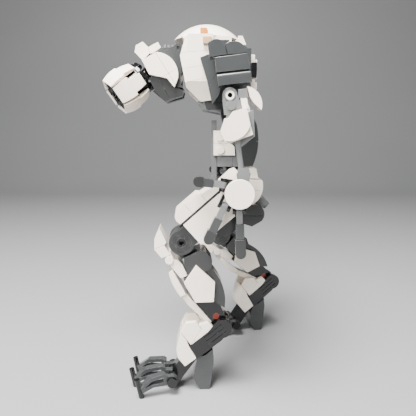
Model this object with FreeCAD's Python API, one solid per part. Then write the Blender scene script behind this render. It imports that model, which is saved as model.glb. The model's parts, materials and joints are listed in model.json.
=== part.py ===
import FreeCAD, Part
import math
import os

# Humanoid robot kit, a posable figure clipped together from studded building bricks.
# Millimetres. +Z is up, the figure faces -Y and its left side is +X.
# The origin is on the floor, under the middle of the figure's bounding box.

V = FreeCAD.Vector

# ---------------------------------------------------------------- brick system
STUD_R = 2.4
STUD_H = 1.7
PIN_R = 2.4
BAR_R = 1.59
FIT = 0.05
SIDE_GAP = 0.25
SWING_GAP = 0.45
SEAM = 0.16

# ---------------------------------------------------------------- leg layout
# a leg is drawn in its own side plane, turned about its hip and then moved to LEG_X, HIP_Y
LEG_X = 39.5
HIP_Y = 15.2
LEFT_TURN = 3.0
RIGHT_TURN = -15.0
HIP = (26.0, 119.0)
KNEE = (-4.8, 92.0)
ANKLE = (19.0, 39.6)
TOE_BAR = (-11.0, 8.0)
RIGHT_FOOT_BACK = 41.0
THIGH_HALF = 11.0
PANEL_INSIDE = 8.9
BLOCK_HALF = 8.6
KNEE_R = 7.2
ANKLE_R = 5.6
BEAM_ANGLE = 38.0
FORK_HALF = 5.3
TOE_PITCH = 8.0
TOE_SPLAY = 15.0
TOE_KNUCKLE_HALF = 1.8
TOE_REACH = {-1: 1.0, 0: 1.0, 1: 0.84}

# ---------------------------------------------------------------- body layout
WAIST_AXIS_Y = 17.5
WAIST_PLANE = 126.0
WAIST_HOLE = (9.9, 129.9)
CHEST_PIVOT = (13.5, 163.0)
NECK_PIVOT = (-9.0, 194.0)
HEAD_FRONT = V(6.0, -59.3, 176.3)
HEAD_REAR = V(0.0, -44.6, 187.6)
HEAD_AXIS = (HEAD_FRONT - HEAD_REAR).normalize()
HEAD_PIVOT = HEAD_REAR - HEAD_AXIS * 6.0
BALL_R = 3.9
HEAD_CORE_R = 9.2
HEAD_CORE_LENGTH = 12.6
# six short round bars with blind holes stand in a ring inside the head's open front
LOBE_R = 3.1
LOBE_RING_R = 6.4
LOBE_LENGTH = 6.2
LOBE_BORE_R = 1.7
LOBE_BORE = 2.6
# the arm is drawn with its shoulder at SHOULDER and then moved by ARM_MOVE
SHOULDER = (25.0, 190.0)
ARM_MOVE = V(7.0, -12.8, 0.0)
# degrees that the right arm hangs back from the left one, about the shoulder
RIGHT_ARM_BACK = 8.0
SHOULDER_AT = (SHOULDER[0] + ARM_MOVE.y, SHOULDER[1])
ELBOW = (24.5, 173.6)
ROD_TOP = V(48.0, 28.6, 150.0)
ROD_END = V(48.0, 31.4, 130.6)
PALM = (29.6, 121.6)
PALM_X = (47.0, 55.0)
DISC_R = 7.95
FINGER_X = 51.0

# finger: pivot distance from the palm's centre, direction in the side plane, segment lengths
FINGERS = {
    "front": (9.6, 152.0, 172.0, (5.5, 11.0, 16.5)),
    "middle": (10.6, 222.0, 245.0, (7.5, 15.5, 23.0)),
    "rear": (9.4, 271.0, 272.5, (7.5, 16.0, 27.0)),
}


# ---------------------------------------------------------------- shape helpers
def polar(angle_deg, length=1.0):
    """A step of the given length in the side plane; 0 points back, 90 points up."""
    angle = math.radians(angle_deg)
    return (length * math.cos(angle), length * math.sin(angle))


def prism(points, x0, x1):
    """Side-plane outline pushed along X. A point is (y, z); an arc is ((y, z) on it, (y, z) end)."""
    at = [p if isinstance(p[0], (int, float)) else p[1] for p in points]
    edges = []
    for i, step in enumerate(points[1:] + points[:1]):
        start = V(x0, *at[i])
        if isinstance(step[0], (int, float)):
            end = V(x0, *step)
            if start.distanceToPoint(end) > 1e-6:
                edges.append(Part.LineSegment(start, end).toShape())
        else:
            edges.append(Part.Arc(start, V(x0, *step[0]), V(x0, *step[1])).toShape())
    face = Part.Face(Part.Wire(edges))
    return face.extrude(V(x1 - x0, 0, 0))


def box(x0, x1, y0, y1, z0, z1):
    return Part.makeBox(x1 - x0, y1 - y0, z1 - z0, V(x0, y0, z0))


def bar(start, end, radius):
    """Round bar between two points."""
    return Part.makeCylinder(radius, start.distanceToPoint(end), start, end - start)


def disc(centre, radius, x0, x1):
    """Round piece on an axis along X through a side-plane point."""
    return Part.makeCylinder(radius, x1 - x0, V(x0, *centre), V(1, 0, 0))


def side_stud(x, centre, direction=1):
    return Part.makeCylinder(STUD_R, STUD_H, V(x, *centre), V(direction, 0, 0))


def both_sides(shape):
    """The piece and its mirror image across the figure's middle plane."""
    return [shape, shape.mirror(V(0, 0, 0), V(1, 0, 0))]


def fuse(*shapes):
    result = shapes[0]
    for shape in shapes[1:]:
        result = result.fuse(shape)
    return result.removeSplitter()


def split(shape, *cuts):
    """Parts a piece into separate bricks with a hairline along side-plane lines (point, angle)."""
    for point, angle in cuts:
        along, across = polar(angle), polar(angle + 90)
        shape = shape.cut(oriented_box(V(0, *point), V(0, *along), V(0, *across), 120, SEAM, 160))
    return shape


def ring_groove(centre, radius, x0, x1):
    """Narrow round groove in a face across X."""
    return disc(centre, radius + 0.35, x0, x1).cut(disc(centre, radius - 0.35, x0, x1))


def local_frame(origin, toward, up):
    """Turns (s along a limb, t across it) into side-plane points."""
    dy, dz = toward[0] - origin[0], toward[1] - origin[1]
    length = math.hypot(dy, dz)
    uy, uz = dy / length, dz / length
    ny, nz = (-uz * up, uy * up)

    def place(s, t):
        return (origin[0] + s * uy + t * ny, origin[1] + s * uz + t * nz)

    def outline(points):
        placed = []
        for p in points:
            if isinstance(p[0], (int, float)):
                placed.append(place(*p))
            else:
                placed.append((place(*p[0]), place(*p[1])))
        return placed

    return place, outline


# ---------------------------------------------------------------- pelvis
def pelvis():
    core = prism([(4, 106), (4, 119), (7, 123), (22, 123), (25, 120), (25, 108), (21, 103), (9, 103)],
                 -24, 24)
    boss = Part.makeCylinder(8.5, WAIST_PLANE - 123, V(0, WAIST_AXIS_Y, 123))
    post = Part.makeCylinder(PIN_R, 10, V(0, WAIST_AXIS_Y, 122))
    frame = [fuse(core, boss, post)]
    for side in (1, -1):
        hub = disc(HIP, 7.4, -16.0, -THIGH_HALF - SIDE_GAP)
        pin = disc(HIP, PIN_R, -16.0, 7.0)
        frame.append(place_leg_part(fuse(hub, pin), side, "root"))
    front = prism([(1.5, 107), (1.5, 116), (4, 118), (4, 106)], -8, 8)
    front_side = prism([(1.8, 108), (1.8, 114), (4, 117), (4, 108)], 8.2, 18)
    upper = prism([(25.2, 126.5), (25.2, 132.4), (29.2, 132.6), (30.6, 126.5)], 9, 26)
    lower = prism([(25.2, 112), (25.2, 126), (33, 125.5), ((33.2, 119), (30.2, 113)), (27.3, 110.5)],
                  9, 27)
    tail = prism([(30.7, 110), (35.2, 113.6), (39.1, 110), (34.7, 106)], 4, 12)
    tail_stud = Part.makeCylinder(STUD_R, STUD_H, V(8, 37.0, 108.1), V(0, 0.74, -0.67))
    glute = prism([(20, 103), (25, 109), (31.6, 109.5), ((35.4, 105), (33.8, 99)), (27.8, 95.5),
                   (20, 98)], 4, 20)
    return {
        "pelvis_frame": frame + [front] + both_sides(front_side),
        "pelvis_rear_armour": both_sides(upper) + both_sides(split(lower, ((29, 119), 0))),
        "pelvis_tail_bricks": both_sides(fuse(tail, tail_stud)),
        "pelvis_glutes": both_sides(split(glute, ((27, 102.4), 0))),
    }


# ---------------------------------------------------------------- waist
def waist():
    base = Part.makeCylinder(8.5, 4, V(0, WAIST_AXIS_Y, WAIST_PLANE + SIDE_GAP))
    socket = Part.makeCylinder(PIN_R + FIT, 9, V(0, WAIST_AXIS_Y, WAIST_PLANE - 1))
    hole_block = box(-8, 8, 6, 22, 126.5, 133.2)
    spine = box(-4, 4, 9, 20, 131, 156)
    knuckle = disc(CHEST_PIVOT, 4.6, -4, 4)
    neck = box(-4, 4, 9.4, 17.6, 154, 163)
    core = fuse(base, hole_block, spine, knuckle, neck)
    core = core.cut(socket).cut(disc(CHEST_PIVOT, PIN_R + FIT, -5, 5))
    core = core.cut(disc(WAIST_HOLE, PIN_R + FIT, -9, 9))
    brick = prism([(3.5, 140), (3.5, 155.4), (8.1, 155.4), (11.6, 150), (16.6, 145.5), (17.1, 140)],
                  6.2, 14)
    studs = [side_stud(14, (7.5, 151.2)), side_stud(14, (7.9, 143.4))]
    sides = split(fuse(brick, *studs), ((8, 147.3), 0))
    strip_low = box(-6, 6, 2.3, 5.6, 127, 138.4)
    strip_high = box(-6, 6, 2.3, 5.6, 138.6, 162)
    strip_foot = box(-6, 6, 1.8, 5.6, 124, 126.8)
    grey = box(-12, 12, 5.9, 15.6, 132.8, 139.6)
    grey_rear = box(-12, 12, 15.8, 19.8, 132.8, 139.6)
    panel = prism([(20.2, 138), (20.2, 160), (26.6, 166), (30, 160), ((31.4, 148), (28, 133.2)),
                   (22.8, 133.2)], 3, 16)
    spine_tile = box(-2.6, 2.6, 20.2, 27.5, 134, 152)
    return {
        "waist_core": [core],
        "waist_side_bricks": both_sides(sides),
        "waist_front_bricks": [strip_foot, strip_low, strip_high, grey, grey_rear],
        "waist_back_panels": both_sides(split(panel, ((26, 150), -14))) + [spine_tile],
    }


# ---------------------------------------------------------------- chest
def chest():
    core = prism([(-5, 180), (-7, 207), (18.5, 207), (25.5, 203), (25.5, 176), (18.5, 168), (-1, 168)],
                 -20, 20)
    ear = prism([(7.5, 170), (8.9, 163), ((13.5, 158.4), (18.1, 163)), (19.5, 170)], 4 + SIDE_GAP, 8.6)
    pin = disc(CHEST_PIVOT, PIN_R, -8, 8)
    swing = disc(CHEST_PIVOT, 4.6 + SWING_GAP, -4 - SIDE_GAP, 4 + SIDE_GAP)
    neck_room = disc(NECK_PIVOT, 5 + SWING_GAP, -4 - SIDE_GAP, 4 + SIDE_GAP)
    neck_ear = prism([(-2, 189), (-9, 189), ((-14, 194), (-9, 199)), (-2, 199)], 4 + SIDE_GAP, 8.4)
    neck_pin = disc(NECK_PIVOT, PIN_R, -8, 8)
    core = fuse(core.cut(swing).cut(neck_room), *both_sides(ear), *both_sides(neck_ear), pin, neck_pin)
    hub = disc(SHOULDER_AT, 6.4, 20, 30 + ARM_MOVE.x)
    shaft = disc(SHOULDER_AT, PIN_R, 20, 40 + ARM_MOVE.x)
    shoulders = both_sides(fuse(hub, shaft))
    facet = [(-13.2, 208.6), (-16.4, 198.6), (-12.8, 180.4), (-4.4, 172.6), (3.1, 173.6), (3.1, 210.4),
             (-11, 210.4)]
    panel = prism(facet, 20, 28)
    lower_slope = Part.makePolygon([V(28.1, -40, 184), V(28.1, -40, 160), V(14, -40, 160),
                                    V(28.1, -40, 184)])
    panel = panel.cut(Part.Face(lower_slope).extrude(V(0, 80, 0)))
    front_slope = Part.makePolygon([V(28.1, -24, 165), V(28.1, -12, 165), V(22, -24, 165),
                                    V(28.1, -24, 165)])
    panel = panel.cut(Part.Face(front_slope).extrude(V(0, 0, 60)))
    panel = split(panel, ((-8, 200.5), 3), ((-8, 192), 9), ((-6, 184.6), 14))
    shoulder_panel = prism([(-4.5, 196), (1.5, 198.4), (8.5, 186), (6.5, 176), (2.5, 170), (-0.5, 183)],
                           28.2, 35)
    shoulder_panel = split(shoulder_panel, ((3, 184), 64))
    shoulder_tall = prism([(3.3, 207), (12.3, 207), (12.3, 172), (3.3, 172)], 20.2, 28)
    shoulder_tall = split(shoulder_tall, ((8, 196), 4), ((8, 184), 4))
    wedge = prism([(-6.4, 173), (-3.4, 168.4), (8, 166), (8, 169.6), (-1, 169.6), (-3.4, 173)], 5, 19)
    sphere = Part.makeSphere(27, V(0, -0.8, 194))
    dome = sphere.common(box(-30, 30, -40, 18.2, 211, 230))
    collar = prism([(-12, 207.2), (-16, 210.8), (14, 210.8), (14, 207.2)], -20, 20)
    back_brick = prism([(14.2, 207.2), (18.4, 211), (18.4, 212.4), (21, 212.4), (23.4, 207.2)], -12, 12)
    plate = box(15.2, 20.6, -4.6, -0.4, 212.4, 215.4)
    strip = prism([(-3, 204.5), (-3, 208.5), (2.2, 208.5), (2.2, 204.5)], 28.2, 30.4)
    back_plate = box(-14, 14, 25.7, 28.7, 178, 201)
    back_ribs = [box(-11, 11, 28.9, 30.4, z, z + 4.4) for z in (180.5, 187.3, 194.1)]
    side_rear = prism([(20.6, 176), (20.6, 203), (25.5, 203), (25.5, 176)], 20.2, 24)
    for side_plate in both_sides(plate):
        dome = dome.cut(side_plate)
    return {
        "chest_frame": [core] + shoulders,
        "chest_side_panels": both_sides(panel),
        "shoulder_front_panels": (both_sides(shoulder_panel) + both_sides(shoulder_tall)
                                  + both_sides(side_rear)),
        "chest_under_wedges": both_sides(wedge),
        "dome": [dome, collar, back_brick],
        "orange_plates": both_sides(plate) + both_sides(strip),
        "chest_back_plate": [back_plate] + back_ribs,
    }


# ---------------------------------------------------------------- neck
def neck():
    knuckle = disc(NECK_PIVOT, 5, -4, 4)
    stalk = box(-4, 4, -24, -10, 190.5, 197.5)
    block = prism([(-37, 187), (-39, 199), (-29, 206), (-18.5, 206), (-16, 190), (-19, 182), (-27, 176),
                   (-34, 183)], -10, 10)
    frame = fuse(knuckle, stalk, block).cut(disc(NECK_PIVOT, PIN_R + FIT, -5, 5))
    top_front = prism([(-45.4, 203.4), (-44.6, 207.4), (-40.4, 209.6), (-37, 206.4), (-36.4, 202.6),
                       (-40.6, 198.4)], -9, 9)
    top_rear = prism([(-36.2, 202.6), (-36.8, 206.4), (-31, 209.4), (-28.6, 205.4), (-30, 203)], -9, 9)
    cheek = prism([(-40.2, 197.6), (-31.6, 202.4), ((-23.4, 199.6), (-18.4, 187)), (-20.6, 181.6),
                   (-25, 187), (-36, 189.4)], 10.2, 15)
    cheek = split(cheek, ((-30.4, 200), -58), ((-24, 190), 28))
    keel = prism([(-36.5, 187.6), (-26, 188.4), (-21, 182), (-15, 180), (-16, 176.6), (-27, 173.4),
                  (-33, 180)], 5, 12.6)
    keel_middle = prism([(-34, 182.8), (-27, 175.8), (-19.2, 181.8), (-16, 178), (-27, 173.4),
                         (-35, 180)], -4.9, 4.9)
    side_plate = prism([(-28.6, 202.6), (-17.2, 208.8), (-15.2, 205.0), (-17, 184), (-15.4, 181.6),
                        (-19.4, 182.4), (-18, 188), (-22.6, 199.8)],
                       10.2, 11.8)
    side_plate = side_plate.cut(disc((-18.2, 205.4), 1.2, 10.9, 12))
    ribs = []
    for i in range(3):
        y = -27.6 + 2.4 * i
        ribs.append(box(-6, 6, y, y + 1.4, 204.6, 208.2))
    room_start = HEAD_PIVOT - HEAD_AXIS * 1.4
    head_room = bar(room_start, HEAD_PIVOT + HEAD_AXIS * 30, 13)
    frame = frame.cut(bar(room_start, HEAD_PIVOT + HEAD_AXIS * 30, 40))
    keel_middle = keel_middle.cut(head_room)
    keel = keel.cut(head_room)
    cup = bar(HEAD_PIVOT - HEAD_AXIS * 1.3, HEAD_PIVOT - HEAD_AXIS * 9, 4.4)
    frame = fuse(frame, cup).cut(Part.makeSphere(BALL_R + FIT, HEAD_PIVOT))
    return {
        "neck_frame": [frame] + ribs,
        "neck_top_bricks": [top_front, top_rear],
        "neck_cheeks": both_sides(cheek),
        "neck_keel": both_sides(split(keel, ((-27, 181), -62))) + [keel_middle] + both_sides(side_plate),
    }


# ---------------------------------------------------------------- head
def head_placement():
    """Head frame: local +Z is the head's own axis, out of the open face; local +X is its left."""
    axis = HEAD_AXIS
    across = V(0, 0, 1).cross(axis).normalize()
    upward = axis.cross(across)
    matrix = FreeCAD.Matrix(
        -across.x, upward.x, axis.x, HEAD_REAR.x,
        -across.y, upward.y, axis.y, HEAD_REAR.y,
        -across.z, upward.z, axis.z, HEAD_REAR.z,
    )
    return matrix


def head_petal():
    """Curved panel beside the head's axis, its sides cut to a wedge that is wider over the front half."""
    outline = [V(9.6, -6.6, 0.4), V(11.2, -6.6, 0.0), V(12.9, -6.6, 9.5), V(11.0, -6.6, 19.6),
               V(9.6, -6.6, 19.2)]
    edges = [
        Part.LineSegment(outline[0], outline[1]).toShape(),
        Part.Arc(outline[1], outline[2], outline[3]).toShape(),
        Part.LineSegment(outline[3], outline[4]).toShape(),
        Part.LineSegment(outline[4], outline[0]).toShape(),
    ]
    panel = Part.Face(Part.Wire(edges)).extrude(V(0, 13.2, 0))
    halves = []
    for half_angle, start, length in ((26.0, 8.6, 12.0), (19.5, -1.0, 9.6)):
        reach = 20 * math.tan(math.radians(half_angle))
        wedge = Part.Face(Part.makePolygon([V(0, 0, start), V(20, -reach, start), V(20, reach, start),
                                            V(0, 0, start)]))
        halves.append(panel.common(wedge.extrude(V(0, 0, length))))
    return fuse(*halves)


def head():
    core = Part.makeCylinder(HEAD_CORE_R, HEAD_CORE_LENGTH)
    lobes = []
    for i in range(6):
        foot = V(LOBE_RING_R, 0, HEAD_CORE_LENGTH)
        lobe = Part.makeCylinder(LOBE_R, LOBE_LENGTH, foot)
        lobe = lobe.cut(Part.makeCylinder(LOBE_BORE_R, LOBE_BORE, foot + V(0, 0, LOBE_LENGTH - LOBE_BORE)))
        lobe.rotate(V(0, 0, 0), V(0, 0, 1), 60 * i + 30)
        lobes.append(lobe)
    eye = Part.makeCylinder(2.6, 3.0, V(0, 0, HEAD_CORE_LENGTH))
    petals = []
    for i in range(6):
        petal = head_petal()
        petal.rotate(V(0, 0, 0), V(0, 0, 1), 60 * i)
        petals.append(petal)
    plate = Part.makeCylinder(10.4, 2.4, V(0, 0, -2.2))
    hub = Part.makeCylinder(5.0, 2.2, V(0, 0, -4.2))
    ball_room = Part.makeSphere(BALL_R + FIT, V(0, 0, -HEAD_REAR.distanceToPoint(HEAD_PIVOT)))
    tabs = []
    for i in range(6):
        tab = Part.makeCylinder(1.9, 5.0, V(8.4, -2.5, -3.2), V(0, 1, 0))
        tab.rotate(V(0, 0, 0), V(0, 0, 1), 60 * i)
        tabs.append(tab)
    matrix = head_placement()

    def place(shape):
        moved = shape.copy()
        moved.transformShape(matrix, True)
        return moved

    return {
        "head_core": [place(fuse(core, plate, hub).cut(ball_room)),
                      place(eye)] + [place(s) for s in lobes + tabs],
        "head_petals": [place(s) for s in petals],
    }


# ---------------------------------------------------------------- arm, drawn on the left side
def arm():
    top_a = prism([(13.5, 193.4), (12.6, 200.4), ((16.5, 202.6), (21.4, 200.2)), (23, 194.6)], 34, 46)
    top_b = prism([(23.2, 194.6), (21.8, 200.0), ((28, 201.4), (33.6, 195.6))], 34, 46)
    middle = prism([(17.2, 185.4), (16.2, 193.2), (33.6, 195.4), (35.4, 187.4)], 34, 46)
    lower = prism([(18.4, 178.6), (17.4, 185.2), (35.4, 187.2), (36.4, 180.6)], 34, 46)
    outer_edges = [e for e in lower.Edges if min(v.X for v in e.Vertexes) > 45.9]
    lower = lower.makeFillet(2.4, [e for e in outer_edges if min(v.Z for v in e.Vertexes) > 185])
    bore = disc(SHOULDER, PIN_R + FIT, 30, 40.2)
    collar = disc(SHOULDER, 6.4, 30 + SIDE_GAP, 34).cut(bore)
    rear_brick = prism([(36.6, 183), (36, 191), (39, 191), (39, 183)], 36, 44)
    plates = [s.cut(bore) for s in (top_a, top_b, middle, lower)]
    lug = prism([(20.6, 178.5), (20.6, 173.6), ((24.5, 169.7), (28.4, 173.6)), (28.4, 178.5)], 35, 39.8)
    pin = disc(ELBOW, PIN_R, 35, 47.7).cut(disc(ELBOW, 1.3, 44, 48))
    upper = {
        "upper_arm": [collar, fuse(lug, pin)],
        "pauldron": plates + [rear_brick],
    }
    hole = disc(ELBOW, PIN_R + FIT, 39, 49)
    knuckle = prism([(20.6, 170.6), (20.6, 173.6), ((24.5, 177.5), (28.4, 173.6)), (31, 168),
                     (29.6, 163.4), (21.6, 163.4)], 40, 48)
    knuckle = knuckle.cut(hole).cut(ring_groove(ELBOW, 3.3, 47.5, 48.1))
    block = fuse(knuckle, side_stud(48, (25, 168.2)))
    clip = prism([(29, 172.2), (28.9, 176.6), (33.4, 177.2), (34.4, 172.6)], 41, 47)
    small = prism([(31.3, 166), (30, 171.8), (33.4, 172.2), (34.6, 166.6)], 42, 48)
    rear = prism([(33.6, 178.0), ((39.4, 174.6), (41.2, 165.8)), (37, 169.6), (35, 172.6)], 39, 49)
    core = prism([(22.6, 163.2), (31, 163.2), (37, 166), (38, 152), (30, 145.6), (24.6, 149)], 43, 48)
    rod = bar(ROD_TOP, ROD_END, BAR_R)
    shell_face = [(25.7, 164.8), (32.6, 166.8), (33.4, 165.3), (35.1, 157.9),
                  ((31.9, 152.6), (21.5, 149.7)),
                  (19.3, 154.5), (21.5, 161.3), (23.3, 161.5)]
    shell_rim = [(25.7, 164.6), (32.6, 166.6), (33.4, 165.1), (36.8, 152.9), (23.8, 148.0), (21.5, 149.7),
                 (19.3, 154.5), (21.5, 161.1), (23.3, 161.3)]
    shell = [prism(shell_rim, 48.2, 50.4), prism(shell_face, 50.5, 52.6)]
    forearm = {
        "forearm_frame": [block, clip, fuse(core, rod)],
        "forearm_shells": shell + [rear, small],
    }
    rod_room = bar(ROD_TOP, ROD_END + (ROD_END - ROD_TOP).normalize() * 0.4, BAR_R + FIT)
    wrist = prism([(28.2, 131.6), (29.4, 134.8), (34, 135.4), (35.8, 132), (35, 128.4), (28.8, 127.6)],
                  44, 52)
    wrist = wrist.cut(rod_room)
    wedge = prism([(18.4, 128.6), (24.4, 134.2), (27, 135.2), (28.8, 133.4), (28, 131.6), (28.6, 128.2)],
                  44.6, 51.4)
    wedge = wedge.cut(rod_room)
    hub = disc(PALM, 6.8, *PALM_X)
    root = box(45.5, 53.5, 26.4, 33.4, 124, 127.8)
    palm = fuse(hub, root)
    for spread, at, heading, _ in FINGERS.values():
        palm = palm.fuse(finger_ears(spread, at, heading))
    palm = palm.removeSplitter()
    cap = disc(PALM, DISC_R, PALM_X[1], PALM_X[1] + 3.2)
    hand = {
        "palm": [palm, wrist, wedge],
        "hand_disc": [cap],
    }
    digits = {}
    for name, (spread, at, heading, lengths) in FINGERS.items():
        digits[name] = finger(spread, at, heading, lengths)
    return upper, forearm, hand, digits


def finger_pivot(spread, at):
    dy, dz = polar(at, spread)
    return V(FINGER_X, PALM[0] + dy, PALM[1] + dz)


def finger_axes(heading):
    dy, dz = polar(heading)
    return V(0, dy, dz), V(0, -dz, dy)


def finger_ears(spread, at, heading):
    """Two black ears on the palm with the thin bar that the finger clips round."""
    pivot = finger_pivot(spread, at)
    out, side = finger_axes(heading)
    ears = None
    for sign in (1, -1):
        inner = pivot + side * (sign * (1.7 + SIDE_GAP))
        ear = bar(inner, inner + side * (sign * 1.7), 2.1)
        inward = V(FINGER_X, *PALM) - pivot
        reach = inward.Length - 5.0
        link = oriented_box(inner + side * (sign * 0.85) - out * (reach / 2), out, side, reach, 1.7, 4.0)
        ears = fuse(ear, link) if ears is None else ears.fuse(fuse(ear, link))
    thin_bar = bar(pivot - side * 3.0, pivot + side * 3.0, 1.0)
    return ears.fuse(thin_bar)


def oriented_box(centre, along, across, length, width, depth):
    """Box centred on a point, its length along one side-plane direction and its depth along X."""
    corner = centre - along * (length / 2) - across * (width / 2) - V(depth / 2, 0, 0)
    a = along * length
    b = across * width
    face = Part.Face(Part.makePolygon([corner, corner + a, corner + a + b, corner + b, corner]))
    return face.extrude(V(depth, 0, 0))


def finger(spread, at, heading, lengths):
    pivot = finger_pivot(spread, at)
    out, side = finger_axes(heading)
    first, second, third = lengths
    knuckle = bar(pivot - side * 1.7, pivot + side * 1.7, 2.0)
    root = oriented_box(pivot + out * (first / 2), out, side, first, 3.4, 3.6)
    root = fuse(knuckle, root).cut(bar(pivot - side * 4, pivot + side * 4, 1.0 + FIT))
    middle = oriented_box(pivot + out * ((first + second) / 2), out, side, second - first, 4.6, 4.6)
    tip_length = third - second
    tip = oriented_box(pivot + out * (second + tip_length / 2 - 1.5),
                       out, side, tip_length - 3.0, 5.8, 5.2)
    end = pivot + out * (third - 3.0)
    rounded = bar(end - V(2.6, 0, 0), end + V(2.6, 0, 0), 2.9)
    return [root, middle, fuse(tip, rounded)]


# ---------------------------------------------------------------- leg, drawn on the left side
def thigh():
    place, outline = local_frame(KNEE, HIP, 1)
    body = prism(outline([(10.6, -7.4), (10.6, 6.8), (36, 6.8), (44, 4), (44, -6), (38, -8)]), -8, 8)
    rail = prism(outline([(8.6, 6.8), (8.6, 8.7), (35.5, 8.7), (35.5, 6.8)]), -10.2, 10.2)
    for i in range(12):
        slot = prism(outline([(11 + 2 * i, 7.0), (11 + 2 * i, 8.8), (11.9 + 2 * i, 8.8),
                              (11.9 + 2 * i, 7.0)]), 9.8, 11)
        rail = rail.cut(slot)
    under = prism(outline([(13, -7.4), ((26, -15.2), (40, -9)), (40, -7.4)]), -7.4, 7.4)
    arm_plate = prism(outline([(0, -6), (0, 6.2), (13, 6.2), (13, -6)]), 4 + SIDE_GAP, 8.8)
    ear = arm_plate.fuse(disc(KNEE, KNEE_R, 4 + SIDE_GAP, 8.8))
    ear_in = ear.mirror(V(0, 0, 0), V(1, 0, 0))
    hip_hub = disc(HIP, 8.2, -THIGH_HALF, 8)
    frame = fuse(body, rail, hip_hub, ear, ear_in)
    frame = frame.cut(disc(KNEE, KNEE_R + SWING_GAP, -4 - SIDE_GAP, 4 + SIDE_GAP))
    frame = frame.cut(disc(KNEE, PIN_R + FIT, -10, 10)).cut(disc(HIP, PIN_R + FIT, -12, 7.2))
    for radius in (3.6, 5.2):
        for x0, x1 in ((8.3, 9), (-9, -8.3)):
            frame = frame.cut(ring_groove(KNEE, radius, x0, x1))
    knee_pin = disc(KNEE, PIN_R, -8.4, 8.4).cut(disc(KNEE, 1.4, 4.4, 9)).cut(disc(KNEE, 1.4, -9, -4.4))
    bands = [
        prism(outline([(7.2, 8.8), ((7.3, 13.6), (10.4, 15.8)), (16, 15.8), (16, 8.8)]), -8, THIGH_HALF),
        prism(outline([(16.2, 8.8), (16.2, 15.8), (25, 15.6), (26.6, 14), (26.6, 8.8)]), -8, THIGH_HALF),
        prism(outline([(26.8, 8.8), (26.8, 13.8), (36.4, 12.4), (37, 8.8)]), -8, THIGH_HALF),
    ]
    panel_shape = outline([(7.9, -7.8), (7.9, 7.3), (36.0, 7.3), (40.4, 4.6), (33, -8.2)])
    outer = prism(panel_shape, PANEL_INSIDE, THIGH_HALF)
    inner = prism(panel_shape, -THIGH_HALF, -PANEL_INSIDE).cut(disc(HIP, 9, -20, 0))
    return {
        "thigh_frame": [frame, knee_pin, under],
        "thigh_armour": bands + [outer, inner],
    }


def shin():
    place, outline = local_frame(KNEE, ANKLE, -1)
    knuckle = disc(KNEE, KNEE_R - 0.2, -4, 4)
    web = prism(outline([(0, -5), (0, 5), (10, 5), (10, -6)]), -4, 4)
    block = prism(outline([(8.6, -8), (8.6, 2.6), (12, 4), (21, 5), (21, -9.4), (17, -11.6),
                           (11, -10.6)]), -8.8, 8.8)
    core = prism(outline([(20, -5), (20, 8), (36, 8), (36, -3), (30, -6)]), -BLOCK_HALF, BLOCK_HALF)
    upper = fuse(knuckle, web, block, core).cut(disc(KNEE, PIN_R + FIT, -5, 5))
    calf = prism(outline([(21.4, -5), (21.4, -9.0), ((33, -10.8), (46.6, -6.4)), (42, -3)]), -7, 7)
    lower = prism(outline([(36.2, -3), (36.2, 8), (43, 6.6), (43, -4.6)]), -5, 5)
    ankle_web = prism(outline([(42, -4.6), (42, 6.6), (50, 4.8), (57, 4), (57, -4)]), -5, 5)
    ankle_knuckle = disc(ANKLE, 4.9, -5, 5)
    low = fuse(lower, ankle_web, ankle_knuckle).cut(disc(ANKLE, PIN_R + FIT, -6, 6))
    red_pins = [disc(place(49.8, 0.6), 1.9, 5, 5.25), disc(place(49.8, 0.6), 1.9, -5.25, -5)]
    cap_top = prism(outline([(-12.8, 7.8), (-8.2, 13.2), (-3.0, 15.8), (-2.6, 9.6), (-3.6, 7.8)]),
                    -7.4, 7.4)
    cap_low = prism(outline([(-2.4, 9.6), (-2.8, 15.9), (3.6, 14.4), (4.0, 9.0)]), -7.4, 7.4)
    roller = disc(place(6.6, 10.8), 2.4, -7.8, 7.8)
    bracket = prism(outline([(2.6, 8.4), (4.4, 11.6), (11, 11.6), (19.6, 9.4), (19.6, 5.2), (12, 5.2),
                             (9, 6.2), (7.9, 8.0)]), -6.6, 6.6)
    strip = prism(outline([(12.4, 11.6), (13.4, 14.4), ((21, 15.2), (29.4, 14.2)), (29.4, 10.8),
                           (20, 11.2)]), -7.4, 7.4)
    strip_low = prism(outline([(29.6, 10.8), (29.6, 14.2), (36.4, 12.8), (53.0, 6.6), (52.0, 4.4),
                               (38, 8.2)]), -5, 5)
    five = outline([(21.6, 8.4), (15.1, -2.2), (28.7, -7.9), (39.2, -2.4), (35, 7.4)])
    panels = [prism(five, PANEL_INSIDE, THIGH_HALF), prism(five, -THIGH_HALF, -PANEL_INSIDE)]
    return {
        "shin_frame": [upper, low, calf] + red_pins,
        "shin_armour": [bracket, roller, cap_top, cap_low, strip, strip_low] + panels,
    }


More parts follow.
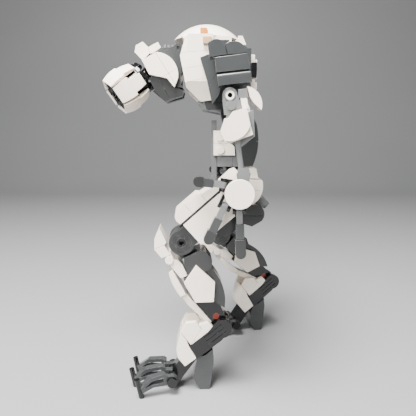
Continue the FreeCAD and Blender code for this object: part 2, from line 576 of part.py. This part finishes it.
def foot():
    ear_block = prism([(13.8, 42.2), (19, 45.2), (24.4, 41.2), (18.6, 32.6), (4, 21.4), (-0.8, 29.2),
                       (10, 37.4)], -BLOCK_HALF, BLOCK_HALF)
    ears = disc(ANKLE, ANKLE_R, -BLOCK_HALF, BLOCK_HALF)
    frame = fuse(ear_block, ears)
    for x in (-7.0, 7.0):
        groove = disc(ANKLE, 8, x - 0.4, x + 0.4).cut(disc(ANKLE, ANKLE_R - 0.8, -9, 9))
        frame = frame.cut(groove.common(box(-9, 9, 17, 40, 30, 50)))
    for offset in (-2.6, 0.0, 2.6):
        along, across = V(0, *polar(BEAM_ANGLE)), V(0, *polar(BEAM_ANGLE + 90))
        for x in (-BLOCK_HALF, BLOCK_HALF):
            middle = V(x, 14.6, 36.6) + across * offset
            frame = frame.cut(oriented_box(middle, along, across, 13.0, 0.7, 0.9))
    fork = prism([(-8.4, 58), (-8.4, 39), (0.4, 35), (9, 32.6), (30, 32.6), (34, 58)],
                 -FORK_HALF, FORK_HALF)
    low_bar = prism([(7, 23.4), (1.6, 30), (-11, 12.6), (-11, 3.6), (-7.6, 3.6)], -4, 4)
    frame = fuse(frame.cut(fork), disc(ANKLE, PIN_R, -8, 8), low_bar)
    crossbar = disc(TOE_BAR, 3.0, -12.4, 12.4)
    frame = fuse(frame, crossbar)
    for i in (-1, 0, 1):
        centre, reach = i * TOE_PITCH, TOE_KNUCKLE_HALF + SIDE_GAP
        frame = frame.cut(disc(TOE_BAR, 3.4 + SWING_GAP, centre - reach, centre + reach))
    frame = fuse(frame, disc(TOE_BAR, BAR_R, -12, 12))
    top_a = prism([(-5.6, 38.0), (-2.8, 43.8), (3.4, 44.4), (6.4, 39.6), (0.2, 30), (-2.4, 33.6)],
                  -BLOCK_HALF, BLOCK_HALF)
    top_b = prism([(6.6, 39.8), (5.0, 42.4), (10.4, 44.2), (13.2, 41.2), (10, 37.6), (0.6, 30.2)],
                  -BLOCK_HALF, BLOCK_HALF)
    front = prism([(-5.8, 37.8), (-2.6, 33.4), (-1.0, 29.2), (3.4, 21.6), (-3.4, 16.6), (-7.6, 22),
                   (-8.4, 27.6)], -BLOCK_HALF, BLOCK_HALF)
    heel = prism([(4.4, 21.6), (8.6, 22), (13.4, 26), (14, 19), (12.4, 5), (11.4, 0), (5.8, 0),
                  (3.6, 3.6), (1.6, 8), (2.4, 14)], -6, 6)
    return {
        "foot_frame": [frame],
        "foot_armour": [top_a.cut(fork), top_b.cut(fork), front],
        "foot_heel": [heel],
    }


def toe(index):
    centre = index * TOE_PITCH
    bar_y = TOE_BAR[0]
    reach = TOE_REACH[index]
    knuckle = disc(TOE_BAR, 3.2, centre - TOE_KNUCKLE_HALF, centre + TOE_KNUCKLE_HALF)

    def outline(points):
        return [(bar_y - forward * reach, z) for forward, z in points]

    neck_outline = outline([(0, 5.4), (0, 10.8), (5.6, 11.2), (5.6, 6.4)])
    neck_piece = prism(neck_outline, centre - TOE_KNUCKLE_HALF, centre + TOE_KNUCKLE_HALF)
    rails = outline([(4.6, 6.2), (4.6, 12.6), (6.4, 13.6), (16, 12.2), (23.2, 6.8), (21.8, 3.6),
                     (14.2, 6.2)])
    window = outline([(7, 8.4), (7, 11.4), (15.4, 10), (20.2, 6.6), (14.8, 8)])
    rails = prism(rails, centre - 2.2, centre + 2.2).cut(prism(window, centre - 3, centre + 3))
    claw_y = bar_y - 25.0 * reach
    claw = bar(V(centre, claw_y, 11.8), V(centre, claw_y + 2.8, -2), BAR_R)
    claw = claw.cut(box(centre - 5, centre + 5, -45, -20, -10, 0))
    splay = V(centre, bar_y, 0)
    for shape in (rails, claw):
        shape.rotate(splay, V(0, 0, 1), TOE_SPLAY * index)
    grey = fuse(knuckle, neck_piece, rails).cut(disc(TOE_BAR, BAR_R + FIT, centre - 3, centre + 3))
    return [claw, grey]


# ---------------------------------------------------------------- posing the legs
def knee_position(side):
    """Knee and ankle in the side plane: the right foot stands a little further back."""
    if side > 0:
        return KNEE, ANKLE
    ankle = (ANKLE[0] + RIGHT_FOOT_BACK, ANKLE[1])
    thigh_length = math.dist(HIP, KNEE)
    shin_length = math.dist(KNEE, ANKLE)
    reach = math.dist(HIP, ankle)
    lean = math.atan2(ankle[1] - HIP[1], ankle[0] - HIP[0])
    opening = math.acos((thigh_length ** 2 + reach ** 2 - shin_length ** 2) / (2 * thigh_length * reach))
    angle = lean - opening
    return (HIP[0] + thigh_length * math.cos(angle), HIP[1] + thigh_length * math.sin(angle)), ankle


def turn_between(a0, a1, b0, b1):
    start = math.atan2(a1[1] - a0[1], a1[0] - a0[0])
    end = math.atan2(b1[1] - b0[1], b1[0] - b0[0])
    return math.degrees(end - start)


def leg_turn(side):
    """Turn of the leg's side plane about the hip; positive points the toes outward."""
    return LEFT_TURN if side > 0 else RIGHT_TURN


def leg_point(point, side, x=0.0):
    """Row position of a leg point as drawn, with the hip at HIP, x out from the leg's own plane."""
    vector = V(x, point[0] - HIP[0], point[1])
    rotation = FreeCAD.Rotation(V(0, 0, 1), leg_turn(side))
    vector = rotation.multVec(vector) + V(LEG_X, HIP_Y, 0)
    return V(vector.x * side, vector.y, vector.z)


def arm_direction(vector, side):
    """Direction of the arm as drawn, swung back with the right arm, before it is mirrored."""
    return FreeCAD.Rotation(V(1, 0, 0), 0.0 if side > 0 else RIGHT_ARM_BACK).multVec(vector)


def arm_point(vector, side):
    """Row position of a point of the arm as drawn."""
    shoulder = V(0, *SHOULDER)
    moved = shoulder + arm_direction(vector - shoulder, side) + ARM_MOVE
    return V(moved.x * side, moved.y, moved.z)


def place_arm_part(shape, side):
    shape = shape.copy()
    if side < 0:
        shape.rotate(V(0, *SHOULDER), V(1, 0, 0), RIGHT_ARM_BACK)
    shape.translate(ARM_MOVE)
    return shape if side > 0 else shape.mirror(V(0, 0, 0), V(1, 0, 0))


def place_leg_part(shape, side, segment):
    shape = shape.copy()
    knee, ankle = knee_position(side)
    if segment == "thigh":
        shape.rotate(V(0, *HIP), V(1, 0, 0), turn_between(HIP, KNEE, HIP, knee))
    if segment == "shin":
        shape.rotate(V(0, *KNEE), V(1, 0, 0), turn_between(KNEE, ANKLE, knee, ankle))
        shape.translate(V(0, knee[0] - KNEE[0], knee[1] - KNEE[1]))
    if segment == "foot":
        shape.translate(V(0, ankle[0] - ANKLE[0], ankle[1] - ANKLE[1]))
    shape.rotate(V(0, HIP[0], 0), V(0, 0, 1), leg_turn(side))
    shape.translate(V(LEG_X, HIP_Y - HIP[0], 0))
    if side < 0:
        shape = shape.mirror(V(0, 0, 0), V(1, 0, 0))
    return shape


# ---------------------------------------------------------------- assembly
SIDES = {"left": 1, "right": -1}
TOES = {"inner": -1, "middle": 0, "outer": 1}
MIN_FRAGMENT = 1.0
OVERLAP = 1e-3


def add_body(bodies, name, nodes):
    """Keeps the pieces of one rigid body apart: each is trimmed back from those before it."""
    placed = []
    body = {}
    for node, shapes in nodes.items():
        solids = []
        for shape in shapes:
            for other in placed:
                touching = shape.Solids and shape.BoundBox.intersect(other.BoundBox)
                if touching and shape.common(other).Volume > OVERLAP:
                    shape = shape.cut(other)
            kept = [s for s in shape.Solids if s.Volume > MIN_FRAGMENT]
            solids += kept
            placed += kept
        body[node] = solids
    bodies[name] = body


def build():
    bodies = {}
    add_body(bodies, "pelvis", pelvis())
    add_body(bodies, "abdomen", waist())
    add_body(bodies, "chest", chest())
    add_body(bodies, "neck", neck())
    add_body(bodies, "head_ball", {"head_ball": [Part.makeSphere(BALL_R, HEAD_PIVOT)]})
    add_body(bodies, "head", head())
    upper, forearm, hand, digits = arm()
    segments = {"thigh": thigh(), "shin": shin(), "foot": foot()}
    for label, side in SIDES.items():
        for part_name, nodes in (("upper_arm", upper), ("forearm", forearm), ("hand", hand)):
            placed = {f"{n}_{label}": [place_arm_part(s, side) for s in g] for n, g in nodes.items()}
            add_body(bodies, f"{part_name}_{label}", placed)
        for digit, shapes in digits.items():
            name = f"finger_{digit}_{label}"
            add_body(bodies, name, {name: [place_arm_part(s, side) for s in shapes]})
        for segment, nodes in segments.items():
            placed = {}
            for node, shapes in nodes.items():
                placed[f"{node}_{label}"] = [place_leg_part(s, side, segment) for s in shapes]
            add_body(bodies, f"{segment}_{label}", placed)
        for toe_name, index in TOES.items():
            shapes = [place_leg_part(s, side, "foot") for s in toe(index)]
            add_body(bodies, f"toe_{toe_name}_{label}", {f"toe_{toe_name}_{label}": shapes})
    return bodies


def centre_shift(bodies):
    """Move that puts the origin under the middle of the whole figure."""
    whole = Part.makeCompound([s for nodes in bodies.values() for g in nodes.values() for s in g])
    bounds = whole.optimalBoundingBox(False, False)
    return V(-bounds.Center.x, -bounds.Center.y, -bounds.ZMin)


def main():
    os.makedirs("parts", exist_ok=True)
    bodies = build()
    shift = centre_shift(bodies)
    for nodes in bodies.values():
        for node, solids in nodes.items():
            part = Part.makeCompound(solids)
            part.translate(shift)
            part.exportStep(f"parts/{node}.step")


if __name__ == "__main__":
    main()
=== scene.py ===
import json
import math
from collections import namedtuple

import bmesh
import bpy
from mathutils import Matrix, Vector


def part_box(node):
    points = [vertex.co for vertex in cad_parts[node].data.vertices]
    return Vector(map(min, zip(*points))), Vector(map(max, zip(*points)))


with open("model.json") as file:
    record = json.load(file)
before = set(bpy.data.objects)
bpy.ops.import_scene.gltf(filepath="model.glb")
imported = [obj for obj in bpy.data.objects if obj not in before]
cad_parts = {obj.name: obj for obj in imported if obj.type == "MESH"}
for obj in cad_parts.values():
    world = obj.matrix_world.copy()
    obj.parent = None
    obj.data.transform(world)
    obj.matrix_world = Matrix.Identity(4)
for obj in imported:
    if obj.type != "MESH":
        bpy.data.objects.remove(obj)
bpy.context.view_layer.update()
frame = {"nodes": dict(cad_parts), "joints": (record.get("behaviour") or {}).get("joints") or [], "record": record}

NODES = frame["nodes"]
JOINTS = {joint["name"]: joint for joint in frame["joints"]}
RECORD_SLOT = {part["node"]: part["material_slot"] for part in frame["record"]["subparts"]}

# Lengths are metres in the CAD frame: +Z up, the figure faces -Y and its left side is +X.
MM = 0.001

# Camera: azimuth 0 looks along +Y and 90 looks at the figure's left side.
VIEW_AZIMUTH = math.radians(90)
VIEW_TILT = math.radians(9)
VIEW_DISTANCE = 0.3052
VIEW_HEIGHT = 0.1526
VIEW_AHEAD = 17.5 * MM           # the camera stands this far in front of the waist's turning axis
LENS_LENGTH = 39.8               # millimetres, as Blender states lenses
SENSOR_WIDTH = 36.0

# Plastic surface: the scales are cycles per metre.
ABS_IOR = 1.53
CLOUD_SCALE = 55.0
SMEAR_SCALE = 130.0
SCUFF_SCALE = 420.0
GRAIN_SCALE = 1900.0
GRAIN_STRENGTH = 0.12
GRAIN_DEPTH = 0.05 * MM
# Width of the edge mask for rubbed wear and the painted edge highlight.
EDGE_WEAR_AND_HIGHLIGHT_WIDTH = 0.45 * MM
RUBBED_ROUGHNESS = 0.14          # added where an edge is rubbed
SMEAR_ROUGHNESS = (-0.05, 0.12)  # added between the shiniest and the dullest smear

# Colour, its cloudy darker tone, the paler tone of edges, which is partly rubbed wear and partly a painted
# highlight, and roughness.
TONES = {
    "white_abs": ((0.92, 0.825, 0.715), (0.87, 0.765, 0.64), (0.96, 0.91, 0.84), 0.19),
    "light_grey_abs": ((0.140, 0.143, 0.142), (0.118, 0.121, 0.120), (0.25, 0.252, 0.25), 0.17),
    "mid_grey_abs": ((0.043, 0.045, 0.045), (0.034, 0.036, 0.036), (0.115, 0.117, 0.117), 0.12),
    "dark_grey_abs": ((0.027, 0.028, 0.027), (0.021, 0.022, 0.021), (0.075, 0.076, 0.075), 0.14),
    "black_abs": ((0.0045, 0.0045, 0.005), (0.0033, 0.0033, 0.0036), (0.032, 0.032, 0.033), 0.11),
    "orange_abs": ((0.52, 0.17, 0.02), (0.45, 0.14, 0.016), (0.66, 0.33, 0.10), 0.22),
    "tan_abs": ((0.50, 0.33, 0.17), (0.44, 0.29, 0.14), (0.64, 0.48, 0.31), 0.22),
    "red_brown_abs": ((0.15, 0.016, 0.007), (0.115, 0.012, 0.006), (0.26, 0.06, 0.04), 0.20),
}

# Moulded edges.
EDGE_RADIUS = 0.28 * MM
EDGE_SEGMENTS = 2
EDGE_ANGLE = math.radians(28)    # sharper corners than this are rounded
FLAT_ANGLE = math.radians(0.6)   # faces this nearly in line are joined into one
WELD_GAP = 0.002 * MM
GRID_PER_METRE = 1e6             # corners are matched on a grid of one micrometre

# Sizes that tell the solids of one node apart.
SMALL_PIN = 7 * MM
NECK_RIB = 14 * MM
THIN_PLATE = 3 * MM
KNEE_PIN_REACH = 3 * MM
PIN_SHADE_RADIUS = 2.45 * MM
# Inside this radius the pin's bore is painted black: painted shade in the hole.
PIN_BORE_PAINTED_SHADE_RADIUS = 1.35 * MM
RAIL_HEIGHT = 6.9 * MM
RAIL_START = 8 * MM
RAIL_END = 36 * MM

# Stage: a floor that starts in front of the figure, and curves up into a wall behind it.
FLOOR_FRONT = 1.2
FLOOR_BACK = 0.9
FLOOR_HALF_WIDTH = 2.2
SWEEP_RADIUS = 0.5
SWEEP_STEPS = 12
WALL_TOP = 1.6
FLOOR_TONES = ((0.26, 0.26, 0.263), (0.285, 0.285, 0.287))
FLOOR_CLOUD_SCALE = 3.0
FLOOR_ROUGHNESS = 0.5

# Soft boxes: place, size and power in watts. All of them face the figure's middle.
SOFTBOXES = {
    "top_softbox": ((0.24, -0.14, 0.78), (0.36, 0.36), 32),
    "front_softbox": ((0.70, -0.26, 0.50), (0.28, 0.28), 11.5),
    "rear_softbox": ((0.30, 0.80, 0.35), (0.4, 0.5), 2.0),
}
FIGURE_MIDDLE = Vector((0, 0, 0.13))
SKY_COLOUR = (0.80, 0.82, 0.85)
SKY_STRENGTH = 0.26

Solid = namedtuple("Solid", "polygons low high")


def joint_point(name):
    return Vector(JOINTS[name]["pos_m"])


def joint_axis(name):
    return Vector(JOINTS[name]["axis"]).normalized()


def side_of(node):
    return node.rsplit("_", 1)[1]


# ---------------------------------------------------------------- materials
def rgb(red, green, blue):
    return (red, green, blue, 1.0)


def add_node(tree, kind, **settings):
    """A shader node. A setting is an attribute, or else an input, with _ for a space in its name."""
    node = tree.nodes.new(kind)
    for key, value in settings.items():
        if hasattr(node, key):
            setattr(node, key, value)
        else:
            node.inputs[key.replace("_", " ")].default_value = value
    return node


def noise(tree, scale, detail, **settings):
    """Noise that stays with the object as it moves."""
    node = add_node(tree, "ShaderNodeTexNoise", Scale=scale, Detail=detail, **settings)
    place = tree.nodes.new("ShaderNodeTexCoord").outputs["Object"]
    tree.links.new(place, node.inputs["Vector"])
    return node.outputs["Fac"]


def ramp(tree, source, stops):
    """Greyscale ramp with a value at each position."""
    node = tree.nodes.new("ShaderNodeValToRGB")
    for element, (position, value) in zip(node.color_ramp.elements, stops):
        element.position = position
        element.color = rgb(value, value, value)
    tree.links.new(source, node.inputs["Fac"])
    return node.outputs["Color"]


def mix_colour(tree, fac, a, b):
    """Colour a where fac is 0 and b where it is 1. Each is a constant or a socket."""
    node = tree.nodes.new("ShaderNodeMix")
    node.data_type = "RGBA"
    for socket, value in ((node.inputs[0], fac), (node.inputs[6], a), (node.inputs[7], b)):
        if isinstance(value, (int, float, tuple)):
            socket.default_value = value
        else:
            tree.links.new(value, socket)
    return node.outputs[2]


def worn_and_highlit_edges(tree):
    """1 along patches of edges, where the edge is rubbed and where a highlight is painted, and 0 elsewhere."""
    link = tree.links.new
    edge_normal = add_node(tree, "ShaderNodeBevel", samples=4, Radius=EDGE_WEAR_AND_HIGHLIGHT_WIDTH)
    surface = tree.nodes.new("ShaderNodeNewGeometry")
    facing = add_node(tree, "ShaderNodeVectorMath", operation="DOT_PRODUCT")
    link(edge_normal.outputs["Normal"], facing.inputs[0])
    link(surface.outputs["Normal"], facing.inputs[1])
    edge = ramp(tree, facing.outputs["Value"], ((0.90, 1.0), (0.995, 0.0)))
    patchy = ramp(tree, noise(tree, SCUFF_SCALE, 3.0), ((0.42, 0.0), (0.62, 1.0)))
    edge_wear_and_highlight = add_node(tree, "ShaderNodeMath", operation="MULTIPLY")
    link(edge, edge_wear_and_highlight.inputs[0])
    link(patchy, edge_wear_and_highlight.inputs[1])
    return edge_wear_and_highlight.outputs[0]


def smeared_gloss(tree, rough, edge_wear_and_highlight):
    """Roughness that finger smears and rubbing change."""
    link = tree.links.new
    shiniest, dullest = SMEAR_ROUGHNESS
    gloss = add_node(tree, "ShaderNodeMapRange", To_Min=rough + shiniest, To_Max=rough + dullest)
    link(noise(tree, SMEAR_SCALE, 5.0, Distortion=1.2), gloss.inputs["Value"])
    worn_gloss = add_node(tree, "ShaderNodeMath", operation="MULTIPLY_ADD")
    worn_gloss.inputs[1].default_value = RUBBED_ROUGHNESS
    link(edge_wear_and_highlight, worn_gloss.inputs[0])
    link(gloss.outputs["Result"], worn_gloss.inputs[2])
    return worn_gloss.outputs[0]


def moulding_grain(tree):
    bump = add_node(tree, "ShaderNodeBump", Strength=GRAIN_STRENGTH, Distance=GRAIN_DEPTH)
    tree.links.new(noise(tree, GRAIN_SCALE, 2.0), bump.inputs["Height"])
    return bump.outputs["Normal"]


def new_material(name):
    """A node material, with its node tree and its surface shader."""
    material = bpy.data.materials.new(name)
    material.use_nodes = True
    return material, material.node_tree, material.node_tree.nodes["Principled BSDF"]


def moulded_plastic(name, colour, shade, worn_and_highlit_tone, rough):
    """Glossy moulded ABS: cloudy tone, finger smears, paler edges that are partly rubbed wear and partly a painted
    highlight, and a fine moulding grain.
    """
    material, tree, shader = new_material(name)
    link = tree.links.new
    shader.inputs["IOR"].default_value = ABS_IOR
    clouds = ramp(tree, noise(tree, CLOUD_SCALE, 4.0, Roughness=0.6), ((0.3, 0.0), (0.7, 1.0)))
    cloudy = mix_colour(tree, clouds, rgb(*colour), rgb(*shade))
    edge_wear_and_highlight = worn_and_highlit_edges(tree)
    # Paler edges: partly rubbed wear, partly a painted highlight along the edges.
    link(mix_colour(tree, edge_wear_and_highlight, cloudy, rgb(*worn_and_highlit_tone)), shader.inputs["Base Color"])
    link(smeared_gloss(tree, rough, edge_wear_and_highlight), shader.inputs["Roughness"])
    link(moulding_grain(tree), shader.inputs["Normal"])
    return material


PLASTIC = {name: moulded_plastic(name, *tones) for name, tones in TONES.items()}


# ---------------------------------------------------------------- solids inside a CAD node
def loose_solids(mesh):
    """A mesh's separate solids, each with its polygons and the corners of its box.

    Faces belong together where exactly two share an edge; where solids touch, more than two do."""
    place = [tuple(round(c * GRID_PER_METRE) for c in vertex.co) for vertex in mesh.vertices]
    sharing = {}
    for polygon in mesh.polygons:
        corners = [place[i] for i in polygon.vertices]
        for start, end in zip(corners, corners[1:] + corners[:1]):
            sharing.setdefault((min(start, end), max(start, end)), []).append(polygon.index)
    parent = list(range(len(mesh.polygons)))

    def find(i):
        while parent[i] != i:
            parent[i] = parent[parent[i]]
            i = parent[i]
        return i

    for polygons in sharing.values():
        if len(polygons) == 2:
            parent[find(polygons[0])] = find(polygons[1])
    groups = {}
    for polygon in mesh.polygons:
        groups.setdefault(find(polygon.index), []).append(polygon.index)
    solids = []
    for polygons in groups.values():
        points = [mesh.vertices[i].co for p in polygons for i in mesh.polygons[p].vertices]
        low = Vector([min(point[k] for point in points) for k in range(3)])
        high = Vector([max(point[k] for point in points) for k in range(3)])
        solids.append(Solid(polygons, low, high))
    return solids


def middle(solid):
    return (solid.low + solid.high) / 2


def diagonal(solid):
    return (solid.high - solid.low).length


def nearest_first(solids, point):
    return sorted(solids, key=lambda solid: (middle(solid) - point).length)


# ---------------------------------------------------------------- which plastic each solid has
def toe_colours(node, solids):
    """The claw is the solid furthest from the toe hinge."""
    claw = nearest_first(solids, joint_point(node + "_lift"))[-1]
    return lambda solid: "black_abs" if solid is claw else "mid_grey_abs"


def finger_colours(node, solids):
    """Each link is a darker grey than the one before it."""
    links = nearest_first(solids, joint_point(node + "_curl"))
    tones = ("light_grey_abs", "mid_grey_abs", "dark_grey_abs")
    return lambda solid: tones[min(links.index(solid), 2)]


def shin_frame_colours(node, solids):
    """Red-brown ankle pins and a black lower block under the grey shin."""
    ankle = joint_point("ankle_" + side_of(node))
    block = [solid for solid in nearest_first(solids, ankle) if diagonal(solid) > SMALL_PIN][0]

    def choose(solid):
        if diagonal(solid) < SMALL_PIN:
            return "red_brown_abs"
        return "black_abs" if solid is block else "dark_grey_abs"
    return choose


def palm_colours(node, solids):
    """Black palm with its finger ears, light block on the rod, white wedge in front of it."""
    palm, *rest = sorted(solids, key=diagonal, reverse=True)
    wedge = min(rest, key=lambda solid: middle(solid).y)

    def choose(solid):
        if solid is palm:
            return "black_abs"
        return "white_abs" if solid is wedge else "light_grey_abs"
    return choose


def neck_frame_colours(node, solids):
    """The small ribs are a lighter grey than the frame."""
    return lambda solid: "light_grey_abs" if diagonal(solid) < NECK_RIB else "mid_grey_abs"


def neck_keel_colours(node, solids):
    """The tall thin plates beside the neck are a lighter grey than the keel."""
    return lambda solid: "mid_grey_abs" if solid.high.x - solid.low.x < THIN_PLATE else "dark_grey_abs"


def pauldron_colours(node, solids):
    """The narrow brick at the very back is black."""
    rear = max(middle(solid).y for solid in solids)
    return lambda solid: "black_abs" if middle(solid).y > rear - MM else "mid_grey_abs"


def thigh_frame_colours(node, solids):
    """The knee pin is black."""
    knee = joint_point("knee_" + side_of(node))
    return lambda solid: "black_abs" if (middle(solid) - knee).length < KNEE_PIN_REACH else "dark_grey_abs"


def orange_plate_colours(node, solids):
    """Orange plates on the dome, tan strips outside the chest."""
    dome_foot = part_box("dome")[0][2]
    return lambda solid: "orange_abs" if solid.low.z > dome_foot else "tan_abs"


def off_axis(point, joint):
    """Distance of a point from a joint's axis."""
    offset = point - joint_point(joint)
    axis = joint_axis(joint)
    return (offset - axis * offset.dot(axis)).length


def elbow_pin_patch(node):
    """The elbow pin is cream, and its bore is painted black as painted shade in the hole."""
    joint = "elbow_" + side_of(node)

    def patch(point):
        reach = off_axis(point, joint)
        if reach > PIN_SHADE_RADIUS:
            return None
        # Painted shade: the bore is black.
        return "black_abs" if reach < PIN_BORE_PAINTED_SHADE_RADIUS else "white_abs"
    return patch


def thigh_rail_patch(node):
    """The ribbed rail on top of the thigh beam is a lighter grey."""
    knee = joint_point("knee_" + side_of(node))
    hip = joint_point("hip_" + side_of(node))
    along = (hip - knee).normalized()
    upward = along.cross(joint_axis("knee_" + side_of(node)))
    upward = upward if upward.z > 0 else -upward

    def patch(point):
        above = (point - knee).dot(upward)
        ahead = (point - knee).dot(along)
        return "mid_grey_abs" if above > RAIL_HEIGHT and RAIL_START < ahead < RAIL_END else None
    return patch


# A node takes the rule whose key its name starts with. Any other node has its record slot's plastic.
SOLID_RULES = {
    "toe_": toe_colours,
    "finger_": finger_colours,
    "shin_frame": shin_frame_colours,
    "palm": palm_colours,
    "neck_frame": neck_frame_colours,
    "neck_keel": neck_keel_colours,
    "pauldron": pauldron_colours,
    "thigh_frame": thigh_frame_colours,
    "orange_plates": orange_plate_colours,
}
# These give another plastic to some faces, by where the middle of a face is.
PATCH_RULES = {
    "upper_arm": elbow_pin_patch,
    "thigh_frame": thigh_rail_patch,
}


def rule_for(node, rules):
    return next((rule for start, rule in rules.items() if node.startswith(start)), None)


# ---------------------------------------------------------------- finish of the CAD nodes
def soften(obj):
    """Rounds the moulded edges and shades the faces smooth."""
    for polygon in obj.data.polygons:
        polygon.use_smooth = True
    weld = obj.modifiers.new("weld", "WELD")
    weld.merge_threshold = WELD_GAP
    flats = obj.modifiers.new("flats", "DECIMATE")
    flats.decimate_type = "DISSOLVE"
    flats.angle_limit = FLAT_ANGLE
    flats.delimit = {"MATERIAL"}
    bevel = obj.modifiers.new("edges", "BEVEL")
    bevel.width = EDGE_RADIUS
    bevel.segments = EDGE_SEGMENTS
    bevel.limit_method = "ANGLE"
    bevel.angle_limit = EDGE_ANGLE
    bevel.harden_normals = True
    obj.modifiers.new("normals", "WEIGHTED_NORMAL")


def finish_node(node):
    """Gives each solid of a node its plastic, and softens the node's moulded edges."""
    obj = NODES[node]
    mesh = obj.data
    solids = loose_solids(mesh)
    solid_rule = rule_for(node, SOLID_RULES)
    patch_rule = rule_for(node, PATCH_RULES)
    choose = solid_rule(node, solids) if solid_rule else lambda solid: RECORD_SLOT[node]
    patch = patch_rule(node) if patch_rule else lambda point: None
    mesh.materials.clear()
    used = []
    for solid in solids:
        solid_plastic = choose(solid)
        for index in solid.polygons:
            face = mesh.polygons[index]
            plastic = patch(face.center) or solid_plastic
            if plastic not in used:
                used.append(plastic)
                mesh.materials.append(PLASTIC[plastic])
            face.material_index = used.index(plastic)
    soften(obj)


# ---------------------------------------------------------------- stage, light and camera
def toward_camera():
    return Vector((math.sin(VIEW_AZIMUTH), -math.cos(VIEW_AZIMUTH), 0))


def floor_material():
    material, tree, shader = new_material("pale_sweep")
    shader.inputs["Roughness"].default_value = FLOOR_ROUGHNESS
    darker, paler = FLOOR_TONES
    tone = mix_colour(tree, noise(tree, FLOOR_CLOUD_SCALE, 3.0), rgb(*darker), rgb(*paler))
    tree.links.new(tone, shader.inputs["Base Color"])
    return material


def stage_floor():
    """Pale floor that curves up into a backdrop."""
    behind = -toward_camera()
    across = Vector((-behind.y, behind.x, 0)) * FLOOR_HALF_WIDTH
    outline = [(-FLOOR_FRONT, 0.0), (FLOOR_BACK, 0.0)]
    for step in range(1, SWEEP_STEPS + 1):
        angle = math.radians(90 * step / SWEEP_STEPS)
        distance = FLOOR_BACK + SWEEP_RADIUS * math.sin(angle)
        outline.append((distance, SWEEP_RADIUS - SWEEP_RADIUS * math.cos(angle)))
    outline.append((FLOOR_BACK + SWEEP_RADIUS, WALL_TOP))
    form = bmesh.new()
    rows = []
    for distance, height in outline:
        centre = behind * distance + Vector((0, 0, height))
        rows.append([form.verts.new(centre - across), form.verts.new(centre + across)])
    for a, b in zip(rows, rows[1:]):
        form.faces.new((a[0], a[1], b[1], b[0])).smooth = True
    mesh = bpy.data.meshes.new("floor")
    form.to_mesh(mesh)
    form.free()
    mesh.materials.append(floor_material())
    floor = bpy.data.objects.new("floor", mesh)
    bpy.context.scene.collection.objects.link(floor)


def soft_light(name, place, size, power):
    """A soft box that faces the figure's middle."""
    data = bpy.data.lights.new(name, "AREA")
    data.energy = power
    data.shape = "RECTANGLE"
    data.size, data.size_y = size
    light = bpy.data.objects.new(name, data)
    light.location = place
    light.rotation_euler = (FIGURE_MIDDLE - Vector(place)).to_track_quat("-Z", "Y").to_euler()
    bpy.context.scene.collection.objects.link(light)


def light_scene():
    for name, (place, size, power) in SOFTBOXES.items():
        soft_light(name, place, size, power)
    world = bpy.data.worlds.new("studio")
    world.use_nodes = True
    background = world.node_tree.nodes["Background"]
    background.inputs["Color"].default_value = rgb(*SKY_COLOUR)
    background.inputs["Strength"].default_value = SKY_STRENGTH
    bpy.context.scene.world = world


def place_camera():
    """View of the figure's left side, looking slightly down."""
    data = bpy.data.cameras.new("camera")
    data.lens = LENS_LENGTH
    data.sensor_width = SENSOR_WIDTH
    data.clip_start = 10 * MM
    camera = bpy.data.objects.new("camera", data)
    beside = Vector((0, joint_point("waist_turn").y - VIEW_AHEAD, VIEW_HEIGHT))
    camera.location = beside + toward_camera() * VIEW_DISTANCE
    look = -toward_camera() * math.cos(VIEW_TILT) - Vector((0, 0, math.sin(VIEW_TILT)))
    camera.rotation_euler = look.to_track_quat("-Z", "Y").to_euler()
    bpy.context.scene.collection.objects.link(camera)
    bpy.context.scene.camera = camera


for node in sorted(NODES):
    finish_node(node)
stage_floor()
light_scene()
place_camera()
